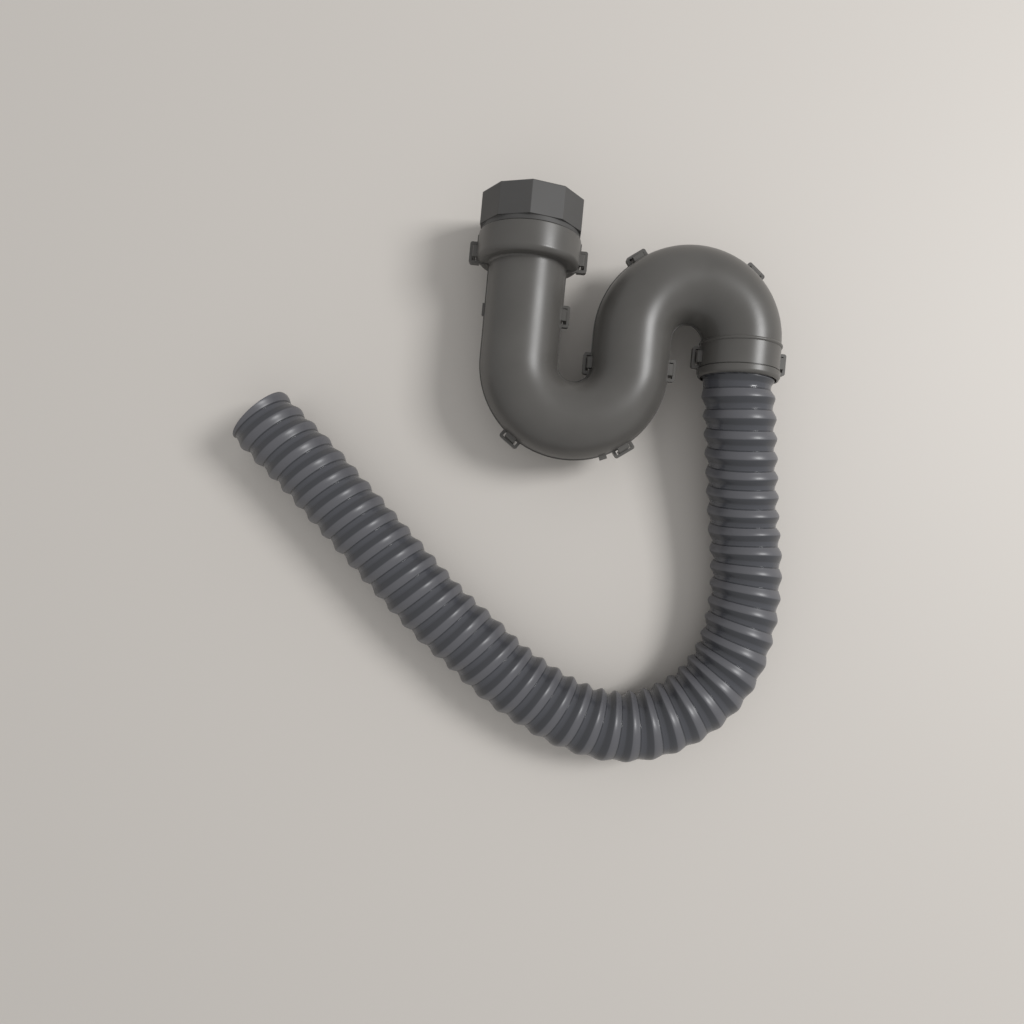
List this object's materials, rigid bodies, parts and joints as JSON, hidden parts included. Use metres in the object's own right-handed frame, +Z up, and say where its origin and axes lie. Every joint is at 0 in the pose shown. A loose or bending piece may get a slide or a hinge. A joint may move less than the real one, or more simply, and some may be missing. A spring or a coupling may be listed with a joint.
{
  "type": "sink drain pipe",
  "caption": "Flexible sink drain pipe: a ribbed hose bent into an S trap by a clip-on casing, with a coupling nut at the inlet and a bare outlet end.",
  "frame": {"origin": "on the surface it lies on, below the centre of the casing and nut", "axes": "+Y runs up the inlet, along the coupling nut's axis; +Z is up from the surface, square to the casing's parting plane"},
  "size_m": [0.2828, 0.2749, 0.052],
  "materials": {
    "casing_plastic": "satin",
    "nut_plastic": "matte",
    "tail_plastic": "matte",
    "seal_rubber": "matte",
    "hose_pvc": "glossy"
  },
  "bodies": {
    "trap": {"front_shell": "casing_plastic", "rear_shell": "casing_plastic", "hose_tail": "tail_plastic", "sealing_washer": "seal_rubber", "hose_in_casing": "hose_pvc", "hose": "hose_pvc"},
    "nut": {"coupling_nut": "nut_plastic"}
  },
  "joints": [
    {"name": "nut_spin", "type": "hinge", "parent": "trap", "child": "nut", "pos_m": [-0.05145, 0.05815, 0.02598], "axis": [0, 1, 0], "continuous": true}
  ]
}
